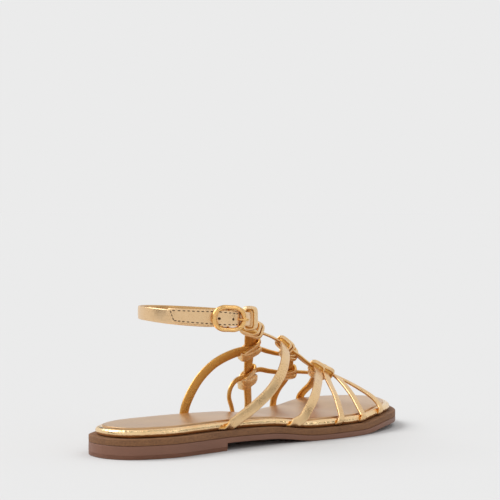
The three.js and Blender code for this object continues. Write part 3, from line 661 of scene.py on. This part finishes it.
# The inside colours are painted shade on the inner sides of the straps and the ankle band
STRAP_FOIL = foil("strap_foil", (0.93, 0.67, 0.37), (0.74, 0.46, 0.21),
                  roughness=0.29, grain=0.06, creases=0.12, inside=(0.66, 0.34, 0.08))
ANKLE_FOIL = foil("ankle_foil", (0.90, 0.65, 0.39), (0.74, 0.47, 0.23),
                  roughness=0.3, grain=0.09, creases=0.2, inside=(0.66, 0.40, 0.17))
PAD_FOIL = foil("pad_foil", (0.99, 0.76, 0.46), (0.88, 0.57, 0.27),
                roughness=0.17, grain=0.1, creases=0.5, metal=1.0)
SOCK = sock_satin()
BOARD = midsole_board()
RUBBER = sole_rubber()
GILT = gilt("buckle_gilt", 0.24)
PRONG_GILT = gilt("prong_gilt", 0.26)
THREAD = thread()


# One ring of a sole layer: up its outer side, over, down its inner side and back under.
# Layers hold the inset from the outline and the level over the base, from the bottom up.
# A ripple moves the wall in or out by its side, share and level.
def sole_ring(shares, layers, base, ripple=None):
    sides = []
    for side in (-1, 1):
        wall = []
        for inset, level in layers:
            drawn = inset + (ripple(side, shares[side], level) if ripple else 0.0)
            spot = edge(side, shares[side], drawn)
            spot.z = base(spot.x) + level
            wall.append(spot)
        sides.append(wall)
    outer, inner = sides
    across = [(i + 1) / (ACROSS + 1) for i in range(ACROSS)]
    over = [outer[-1].lerp(inner[-1], share) for share in across]
    for spot in over:
        spot.z = base(spot.x) + layers[-1][1]
    under = [inner[0].lerp(outer[0], share) for share in across]
    for spot in under:
        spot.z = base(spot.x) + layers[0][1]
    return outer + over + inner[::-1] + under


# Rings of a sole layer from the heel to the toe, or to a share of each side's length
FIRST_SHARE = 0.0002


def sole_rings(count, layers, base, reach_to=None, ripple=None):
    shares = [FIRST_SHARE] + [i / count for i in range(1, count)] + [1 - FIRST_SHARE]
    ends = reach_to or {-1: 1.0, 1: 1.0}
    return [sole_ring({side: share * ends[side] for side in (-1, 1)}, layers, base, ripple)
            for share in shares]


# Share of one side's length at which it reaches a place along the sole
def share_reaching(side, x):
    return min((i / BREAST_STEPS for i in range(BREAST_STEPS + 1)),
               key=lambda share: abs(edge(side, share, 0).x - x))


# Wall of a layer with a rounded upper edge, and a rounded or sharp lower one
def rounded(bottom, top, inset, radius, lower=True):
    turns = [math.pi / 2 * i / ROUND_STEPS for i in range(ROUND_STEPS + 1)]
    low = [(inset + radius * (1 - math.sin(turn)), bottom + radius * (1 - math.cos(turn)))
           for turn in turns]
    high = [(inset + radius * (1 - math.cos(turn)), top - radius * (1 - math.sin(turn)))
            for turn in turns]
    return (low if lower else [(inset, bottom)]) + high


def join(name, *pieces):
    bpy.ops.object.select_all(action="DESELECT")
    for piece in pieces:
        piece.select_set(True)
    bpy.context.view_layer.objects.active = pieces[0]
    bpy.ops.object.join()
    pieces[0].name = pieces[0].data.name = name
    return pieces[0]


# Outsole: the plate, and the low heel block with fine ribs round its foot
plate = skin("sole_plate", sole_rings(
    SOLE_STATIONS, rounded(0.0, OUTSOLE_TOP, 0.0, PLATE_ROUND), underside))
RIBS = 3
RIB_FOOT = 0.55
RIB_PITCH = 0.62
RIB_FORM = [(0.02, 0.0), (-0.02, 0.2), (0.22, 0.34), (0.22, 0.44)]
rib_wall = [(0.65, 0.0), (0.3, 0.12), (0.12, 0.35)]
for rib in range(RIBS):
    rib_wall += [(inset, RIB_FOOT + rib * RIB_PITCH + level) for inset, level in RIB_FORM]
rib_wall += [(-0.03, 2.5), (-0.03, HEEL_HEIGHT + 1.0), (0.3, HEEL_HEIGHT + 1.2)]
breast = {side: share_reaching(side, HEEL_BLOCK) for side in (-1, 1)}
block = skin("heel_block", sole_rings(BLOCK_STATIONS, rib_wall, lambda x: 0.0, breast),
             smooth_angle=35.0)
finish(join("outsole_sole", plate, block), RUBBER, "sole_rubber", "outsole")

# Midsole board
midsole_wall = rounded(MIDSOLE_BOTTOM, MIDSOLE_TOP, 0.0, MIDSOLE_ROUND)
finish(skin("midsole_edge", sole_rings(SOLE_STATIONS, midsole_wall, underside)),
       BOARD, "midsole_board", "midsole")


# Padded footbed: a round rim whose foil gathers into small pleats
def pleat(side, share, level):
    run = share * outline_run[-1] / 2
    wide = Vector((run * 0.55, side * 7.0, level * 0.25))
    fine = Vector((run * 1.3, side * 3.0, level * 0.3))
    return 0.16 * noise.noise(wide) + 0.08 * noise.noise(fine)


pad_radius = (FOOTBED_TOP - FOOTBED_BOTTOM) / 2
pad_wall = [(FOOTBED_LEDGE + pad_radius * (1 - math.cos(t)),
             FOOTBED_BOTTOM + pad_radius * (1 + math.sin(t)))
            for t in (math.pi * (i / PAD_STEPS - 0.5) for i in range(PAD_STEPS + 1))]
pad = finish(skin("footbed_pad", sole_rings(PAD_STATIONS, pad_wall, underside, ripple=pleat)),
             PAD_FOIL, "footbed_foil", "footbed")

# Satin sock on the footbed
sock_wall = rounded(FOOTBED_TOP - SOCK_SINK, FOOTBED_TOP + SOCK_THICKNESS,
                    FOOTBED_LEDGE + SOCK_MARGIN, SOCK_ROUND, lower=False)
finish(skin("sock_sheet", sole_rings(SOLE_STATIONS, sock_wall, underside)),
       SOCK, "sock_satin", "insole_cover")

# Straps of the upper
routes = {name: StrapRoute(rows) for name, (_, rows) in STRAPS.items()}
straps = [skin("strap_" + name, swept(routes[name], width, STRAP_THICKNESS))
          for name, (width, _) in STRAPS.items()]


# Sine or cosine bent towards 1, which turns an ellipse into a rounded rectangle
def squared(value, power):
    return math.copysign(abs(value) ** power, value)


# One turn of leather round a strap
def winding(name, spot, half_width, half_thick, offset, slant, width, thickness, square, crown):
    point, tangent, side, face = spot

    def at(angle):
        c, s = math.cos(angle), math.sin(angle)
        return (point + side * half_width * squared(c, square)
                + face * half_thick * squared(s, square)
                + tangent * (offset + slant * c))

    rings = []
    for i in range(TURN_SIDES):
        angle = 2 * math.pi * (i + 0.5) / TURN_SIDES
        ahead = (at(angle + TURN_STEP) - at(angle - TURN_STEP)).normalized()
        out = (side * math.cos(angle) / half_width + face * math.sin(angle) / half_thick)
        out = (out - ahead * out.dot(ahead)).normalized()
        along = out.cross(ahead)
        rings.append([at(angle) + along * x + out * y
                      for x, y in band(width, thickness, crown)])
    return skin(name, rings, joined=True)


# Filling of a knot, under its turns: it is coloured all over in the darker inner colour, as
# painted shade in the gaps between the turns, and narrows at its ends
KNOT_SQUARE = 0.5
CORE_FORM = ((-0.5, 0.82), (-0.4, 1.0), (0.4, 1.0), (0.5, 0.82))


def core(name, spot, half_width, half_thick, length):
    point, tangent, side, face = spot
    rings = []
    for share, scale in CORE_FORM:
        ring = []
        for i in range(TURN_SIDES):
            angle = 2 * math.pi * (i + 0.5) / TURN_SIDES
            ring.append(point + tangent * length * share
                        + side * half_width * scale * squared(math.cos(angle), KNOT_SQUARE)
                        + face * half_thick * scale * squared(math.sin(angle), KNOT_SQUARE))
        rings.append(ring)
    piece = skin(name, rings)
    # The whole filling takes the painted shade of the inner side
    for mark in piece.data.attributes["painted_inner_shade"].data:
        mark.value = 1.0
    return piece


# Knots: flat turns that cross over a filling. Each turn has its place and its width in
# shares of the knot's width, its lean and how far it stands out. A positive lean is a
# share of the knot's slant, and a negative one is a length.
TURNS = [(-0.3, 0.42, 1.0, 0.0), (0.3, 0.42, -0.6, 0.2), (0.05, 0.44, -2.0, 0.7)]
TURN_THICKNESS = 1.5
TURN_CROWN = 0.18
CORE_SINK = 0.1
CORE_LENGTH = 0.9
knots = []
for number, (on, along, around, width, slant, wider, thicker) in enumerate(KNOTS):
    spot = frame_near(routes[on], last_point(along, around))
    half_width = STRAPS[on][0] / 2 + wider
    half_thick = STRAP_THICKNESS / 2 + thicker
    knots.append(core(f"knot_{number}_core", spot, half_width - CORE_SINK,
                      half_thick - CORE_SINK, width * CORE_LENGTH))
    for turn, (place, share, lean, proud) in enumerate(TURNS):
        tilt = slant * lean if lean > 0 else lean
        knots.append(winding(f"knot_{number}_{turn}", spot, half_width + proud,
                             half_thick + proud, width * place, tilt, width * share,
                             TURN_THICKNESS, KNOT_SQUARE, TURN_CROWN))

# Loop on the ankle strap: a sleeve with folds side by side, every second one standing out
SLEEVE_REACH = 2
SLEEVE_HEIGHT = ANKLE_HEIGHT + 2.0
SLEEVE_THICKNESS = STRAP_THICKNESS + 2.2
FOLD_ROOM = 1.3
FOLD_PROUD = (0.4, 0.6)
FOLD_SLANT = 0.5
FOLD_WIDTH = 3.4
FOLD_THICKNESS = 1.4
FOLD_SQUARE = 0.4
FOLD_CROWN = 0.5
ankle_route = AnkleRoute(ANKLE)
ankle_lift = column([(-turn, lift) for turn, lift, _ in ANKLE], 1)
sleeve = []
for share in even_shares(ankle_route, STRAP_STEP)[0]:
    turn = ankle_route.curve.at(share).x
    if LOOP_TURNS[-1] - SLEEVE_REACH < turn < LOOP_TURNS[0] + SLEEVE_REACH:
        point, _, side, face = frame_at(ankle_route, share)
        sleeve.append([point + side * x + face * y
                       for x, y in band(SLEEVE_HEIGHT, SLEEVE_THICKNESS)])
loop = [skin("loop_sleeve", sleeve)]
for fold, turn in enumerate(LOOP_TURNS):
    spot = frame_near(ankle_route, ankle_point(turn, ankle_lift(-turn), 0))
    proud = fold % 2
    loop.append(winding(f"loop_{fold}", spot,
                        ANKLE_HEIGHT / 2 + FOLD_ROOM + FOLD_PROUD[0] * proud,
                        STRAP_THICKNESS / 2 + FOLD_ROOM + FOLD_PROUD[1] * proud,
                        0.0, FOLD_SLANT, FOLD_WIDTH, FOLD_THICKNESS, FOLD_SQUARE, FOLD_CROWN))
finish(join("upper_straps", *straps, *knots, *loop), STRAP_FOIL, "strap_foil", "upper")

# Ankle strap: its height along its run, and its free end cut on a slant
strap_height = column([(0.0, 9.4), (0.1, 9.0), (0.3, 8.0), (0.72, 8.4), (0.86, 9.8),
                       (0.93, 9.2), (1.0, 8.2)], 1)
ANKLE_CROWN = 0.16
TIP_RUN = 7.0
TIP_SLANT = 0.43
TIP_ROUND = 1.2
TIP_SQUEEZE = 0.06
ankle_shares, ankle_length = even_shares(ankle_route, ANKLE_STEP)


# Slant of the strap's section at a distance from its tip
def tip_slant(left):
    return TIP_SLANT * max(0.0, 1 - left / TIP_RUN)


ankle_rings = []
for share in ankle_shares:
    point, tangent, side, face = frame_at(ankle_route, share)
    left = ankle_length - share * ankle_length
    squeeze = 1.0 - TIP_SQUEEZE * max(0.0, 1 - left / TIP_ROUND)
    ankle_rings.append([point + side * x * squeeze + face * y - tangent * tip_slant(left) * x
                        for x, y in band(strap_height(share), STRAP_THICKNESS, ANKLE_CROWN)])
ankle = skin("ankle_band", ankle_rings)


# Buckle frame of reference: x towards the toe along the strap, y up, z outwards
buckle_spot = ankle_point(BUCKLE_TURN, 0, 0)
buckle_ahead = ankle_point(BUCKLE_TURN + 1, 0, 0) - ankle_point(BUCKLE_TURN - 1, 0, 0)
buckle_ahead.normalize()
buckle_out = ankle_face(BUCKLE_TURN)
buckle_out = (buckle_out - buckle_ahead * buckle_out.dot(buckle_ahead)).normalized()
buckle_up = buckle_out.cross(buckle_ahead)


def on_buckle(x, y, z):
    return buckle_spot + buckle_ahead * x + buckle_up * y + buckle_out * z


# Turns and moves a mesh that is made round the world's origin to a place on the buckle
def set_on_buckle(mesh, x, y, z):
    basis = Matrix((buckle_ahead, buckle_up, buckle_out)).transposed().to_4x4()
    basis.translation = (on_buckle(x, y, z) - ORIGIN) * MM
    mesh.transform(basis)


# Levels of the frame's rim and of its bar, which lies lower
BAR_DROP = 0.9
BAR_END_DROP = 0.3
sagitta = BUCKLE_HALF_LENGTH ** 2 * ANKLE_HALF[1] / (2 * ANKLE_HALF[0] ** 2)
frame_lift = FREE_LIFT + STRAP_THICKNESS / 2 + RIM_GAP + BUCKLE_WIRE - sagitta
bar_lift = frame_lift - BAR_DROP

# Fineness of the buckle's wires
RIM_STEPS = 96
BAR_STEPS = 24
FINGER_STEPS = 40
EYE_STEPS = 32
WIRE_SIDES = 12
EYE_SIDES = 8
WIRE_STEP = 0.002
UPRIGHT = 0.1


# Round wire along a curve through points in the buckle's frame
def wire(name, points, radius, steps, closed=False, flat=1.0, sides=WIRE_SIDES):
    curve = Smooth(points, closed)
    count = steps if closed else steps + 1
    rings = []
    for i in range(count):
        share = i / steps
        low, high = share - WIRE_STEP, share + WIRE_STEP
        if closed:
            low, high = low % 1, high % 1
        else:
            low, high = max(low, 0), min(high, 1)
        ahead = (curve.at(high) - curve.at(low)).normalized()
        across = UP.cross(ahead)
        across = across.normalized() if across.length > UPRIGHT else Vector((1, 0, 0))
        out = ahead.cross(across)
        ring = []
        for k in range(sides):
            angle = 2 * math.pi * k / sides
            dot = (curve.at(share) + across * radius * math.cos(angle)
                   + out * radius * flat * math.sin(angle))
            ring.append(on_buckle(*dot))
        rings.append(ring)
    return skin(name, rings, joined=closed)


# Frame: a rim drawn in at its middle, where the bar's ends meet it
RIM_FORM = ((1, 0), (0.93, 0.42), (0.74, 0.77), (0.42, 0.96))
BAR_END = 1
quarter = [(x * BUCKLE_HALF_LENGTH, y * BUCKLE_HALF_HEIGHT) for x, y in RIM_FORM]
quarter.append((0, BUCKLE_WAIST))
upper_half = quarter + [(-x, y) for x, y in quarter[-2::-1]]
rim = upper_half + [(x, -y) for x, y in upper_half[-2:0:-1]]
rim_wire = wire("buckle_rim", [(x, y + BUCKLE_RISE, frame_lift) for x, y in rim],
                BUCKLE_WIRE, RIM_STEPS, closed=True)
bar_wire = wire("buckle_bar", [
    (0, BUCKLE_WAIST + BUCKLE_RISE, frame_lift - BAR_END_DROP),
    (0, BUCKLE_WAIST - BAR_END + BUCKLE_RISE, bar_lift), (0, BUCKLE_RISE, bar_lift),
    (0, BAR_END - BUCKLE_WAIST + BUCKLE_RISE, bar_lift),
    (0, BUCKLE_RISE - BUCKLE_WAIST, frame_lift - BAR_END_DROP)], BAR_RADIUS, BAR_STEPS)
finish(join("buckle_ring", rim_wire, bar_wire), GILT, "buckle_metal", "buckle_frame")

# Prong: an eye round the bar, and a finger over the front rim
FINGER_RADIUS = 0.8
FINGER_FLAT = 0.72
FINGER_GAP = 0.75
EYE_RADIUS = 1.45
EYE_WIRE = 0.45
over_rim = frame_lift + BUCKLE_WIRE + FINGER_GAP
finger = wire("prong_finger", [
    (0.6, PRONG_RISE, bar_lift + 0.9), (3.0, PRONG_RISE, bar_lift - 0.45),
    (6.2, PRONG_RISE, bar_lift - 0.3), (8.3, PRONG_RISE, bar_lift + 1.7),
    (9.6, PRONG_RISE, over_rim), (12.1, PRONG_RISE, over_rim - 0.15)],
    FINGER_RADIUS, FINGER_STEPS, flat=FINGER_FLAT)
eye = wire("prong_eye", [
    (EYE_RADIUS * math.cos(a), PRONG_RISE, bar_lift + EYE_RADIUS * math.sin(a))
    for a in (math.pi * k / 4 for k in range(8))],
    EYE_WIRE, EYE_STEPS, closed=True, sides=EYE_SIDES)
finish(join("buckle_finger", finger, eye), PRONG_GILT, "prong_metal", "buckle_prong")


# Holes of the free end, cut right through its outer layer: place and level of the dark bed, a disc
# of painted shade at the bottom of each hole
HOLES = [(-6.9, 1.6), (1.6, 4.35), (6.9, 1.9)]
HOLE_RADIUS = 0.8
HOLE_SIDES = 20
PUNCH_LENGTH = 3.4
PUNCH_LIFT = 1.0
BED_THICKNESS = 0.3


# Short rod across the strap at one of its holes
def rod(x, level, length):
    bpy.ops.object.select_all(action="DESELECT")
    bpy.ops.mesh.primitive_cylinder_add(vertices=HOLE_SIDES, radius=HOLE_RADIUS * MM,
                                        depth=length * MM)
    made = bpy.context.object
    set_on_buckle(made.data, x, PRONG_RISE, level)
    return made


def punched(piece):
    for x, bed in HOLES:
        punch = rod(x, bed + PUNCH_LIFT, PUNCH_LENGTH)
        cut = piece.modifiers.new("hole", "BOOLEAN")
        cut.operation, cut.object, cut.solver = "DIFFERENCE", punch, "EXACT"
        bpy.ops.object.select_all(action="DESELECT")
        bpy.context.view_layer.objects.active = piece
        piece.select_set(True)
        bpy.ops.object.modifier_apply(modifier=cut.name)
        bpy.data.objects.remove(punch)


# Loop of the strap's end round the bar, open in its middle for the prong
FOLD_OUTER = 1.95
FOLD_INNER = 1.3
FOLD_ARC = [math.radians(turn) for turn in range(-100, 281, 20)]


def bar_fold(name, low, high):
    section = ([(FOLD_OUTER, angle) for angle in FOLD_ARC]
               + [(FOLD_INNER, angle) for angle in reversed(FOLD_ARC)])
    return skin(name, [[on_buckle(radius * math.cos(angle), y,
                                  bar_lift + radius * math.sin(angle))
                        for radius, angle in section] for y in (low, high)],
                smooth_angle=40.0)


fold_top = bar_fold("bar_fold_top", 1.9, 4.4)
fold_foot = bar_fold("bar_fold_foot", -3.3, -1.3)
punched(ankle)
finish(join("ankle_band", ankle, fold_top, fold_foot), ANKLE_FOIL, "ankle_foil", "ankle_strap")

# Stitches along both edges of the free end and across its tip
STITCH_PITCH = 2.7
STITCH_LENGTH = 1.9
STITCH_EDGE = 1.2
STITCH_FROM = -449.0
STITCH_LIFT = 0.04
TIP_STITCH_LIFT = 0.12
TIP_STITCH_RUN = 1.3
TIP_STITCHES = (-2.0, 0.0, 2.0)
THREAD_WIDTH = 0.7
THREAD_HEIGHT = 0.5


def stitch(name, spot, ahead, out):
    bpy.ops.object.select_all(action="DESELECT")
    bpy.ops.mesh.primitive_uv_sphere_add(segments=8, ring_count=6, radius=0.5)
    made = bpy.context.object
    made.name = name
    across = out.cross(ahead).normalized()
    basis = Matrix((ahead * STITCH_LENGTH, across * THREAD_WIDTH,
                    out * THREAD_HEIGHT)).transposed().to_4x4()
    made.data.transform(Matrix.Scale(MM, 4) @ basis)
    made.data.transform(Matrix.Translation((spot - ORIGIN) * MM))
    return made


thread_and_hole_shade = []
shares, _ = even_shares(ankle_route, STITCH_PITCH)
for number, share in enumerate(shares[:-1]):
    if ankle_route.curve.at(share).x > STITCH_FROM:
        continue
    point, tangent, side, face = frame_at(ankle_route, share)
    left = (1 - share) * ankle_length
    edge_row = strap_height(share) / 2 - STITCH_EDGE
    for row, x in enumerate((-edge_row, edge_row)):
        spot = (point + side * x + face * (STRAP_THICKNESS / 2 + STITCH_LIFT)
                - tangent * tip_slant(left) * x)
        thread_and_hole_shade.append(stitch(f"stitch_{row}_{number}", spot, tangent, face))
point, tangent, side, face = frame_at(ankle_route, 1 - TIP_STITCH_RUN / ankle_length)
for x in TIP_STITCHES:
    ahead = (side - tangent * TIP_SLANT).normalized()
    spot = (point + side * x + face * (STRAP_THICKNESS / 2 + TIP_STITCH_LIFT)
            - tangent * TIP_SLANT * x)
    thread_and_hole_shade.append(stitch("stitch_tip", spot, ahead, face))

# Dark beds of the holes: discs of painted shade in the thread's dark colour, joined with the
# stitches
thread_and_hole_shade += [rod(x, bed, BED_THICKNESS) for x, bed in HOLES]
finish(join("ankle_thread_and_hole_shade", *thread_and_hole_shade), THREAD, "ankle_foil")

# Studio: a pale floor and air of the same brightness, so that no horizon shows
AIR = 0.831
PALE = 0.68
SUN = 1.66
bpy.context.scene.view_settings.view_transform = "Standard"
bpy.ops.object.select_all(action="DESELECT")
bpy.ops.mesh.primitive_plane_add(size=60)
floor = bpy.context.object
floor.name = "studio_floor"
paper = Sheet("studio_paper")
floor.data.materials.append(
    paper.surface(Base_Color=(PALE, PALE, PALE, 1), Roughness=1.0, Specular_IOR_Level=0.0))

world = bpy.data.worlds.new("studio_air")
bpy.context.scene.world = world
world.use_nodes = True
world.node_tree.nodes["Background"].inputs["Color"].default_value = (1, 1, 1, 1)
world.node_tree.nodes["Background"].inputs["Strength"].default_value = AIR


# Places a thing, in metres, and turns it to the middle of the shoe
AIM = Vector((0, 0, 0.04))


def aimed(thing, place):
    thing.location = place
    thing.rotation_euler = (AIM - Vector(place)).to_track_quat("-Z", "Y").to_euler()


def lamp(name, kind, place, settings):
    data = bpy.data.lights.new(name, kind)
    for key, value in settings.items():
        setattr(data, key, value)
    made = bpy.data.objects.new(name, data)
    bpy.context.scene.collection.objects.link(made)
    aimed(made, place)
    return made


# Panel that only shows as a bright reflection in the foil
def panel(name, place, width, height, glow):
    made = lamp(name, "AREA", place, {"shape": "RECTANGLE", "size": width, "size_y": height,
                                      "energy": glow * math.pi * width * height})
    made.visible_diffuse = False


# Black card that only shows as a dark reflection
BLACK = Sheet("black_card").surface(Base_Color=(0, 0, 0, 1), Roughness=1.0)


def card(name, place, width, height):
    bpy.ops.object.select_all(action="DESELECT")
    bpy.ops.mesh.primitive_plane_add(size=1)
    made = bpy.context.object
    made.name = name
    made.data.transform(Matrix.Diagonal((width, height, 1, 1)))
    made.data.materials.append(BLACK)
    aimed(made, place)
    made.visible_camera = made.visible_diffuse = made.visible_shadow = False


lamp("sun_above", "SUN", (-0.5, 0.85, 1.12), {"energy": SUN, "angle": math.radians(40)})
panel("panel_above", (-0.2, -0.4, 1.5), 0.55, 0.4, 2.6)
panel("panel_left", (-1.3, 0.1, 0.45), 0.2, 0.8, 1.9)
panel("panel_right", (0.5, -1.3, 0.45), 0.2, 0.8, 2.6)
card("card_above", (-0.25, -0.5, 1.9), 1.5, 1.0)
card("card_left", (-1.55, 0.45, 0.4), 1.3, 0.8)
card("card_right", (0.75, -1.5, 0.4), 1.1, 0.8)
card("card_back", (0.7, 1.4, 0.9), 1.0, 0.5)

# Camera at the photo's angle
PIXEL_FOCUS = 1752.2
FRAME_PIXELS = 500
SENSOR = 36
AZIMUTH, ELEVATION = -46.91, 1.41
VIEWPOINT = Vector((-678.3, -751.1, 145.3))
camera_data = bpy.data.cameras.new("camera")
camera_data.sensor_width = SENSOR
camera_data.lens = PIXEL_FOCUS / FRAME_PIXELS * SENSOR
camera_data.clip_start, camera_data.clip_end = 0.05, 200
camera = bpy.data.objects.new("camera", camera_data)
bpy.context.scene.collection.objects.link(camera)
camera.location = (VIEWPOINT - ORIGIN) * MM
camera.rotation_euler = (math.radians(90 - ELEVATION), 0, math.radians(AZIMUTH))
bpy.context.scene.camera = camera
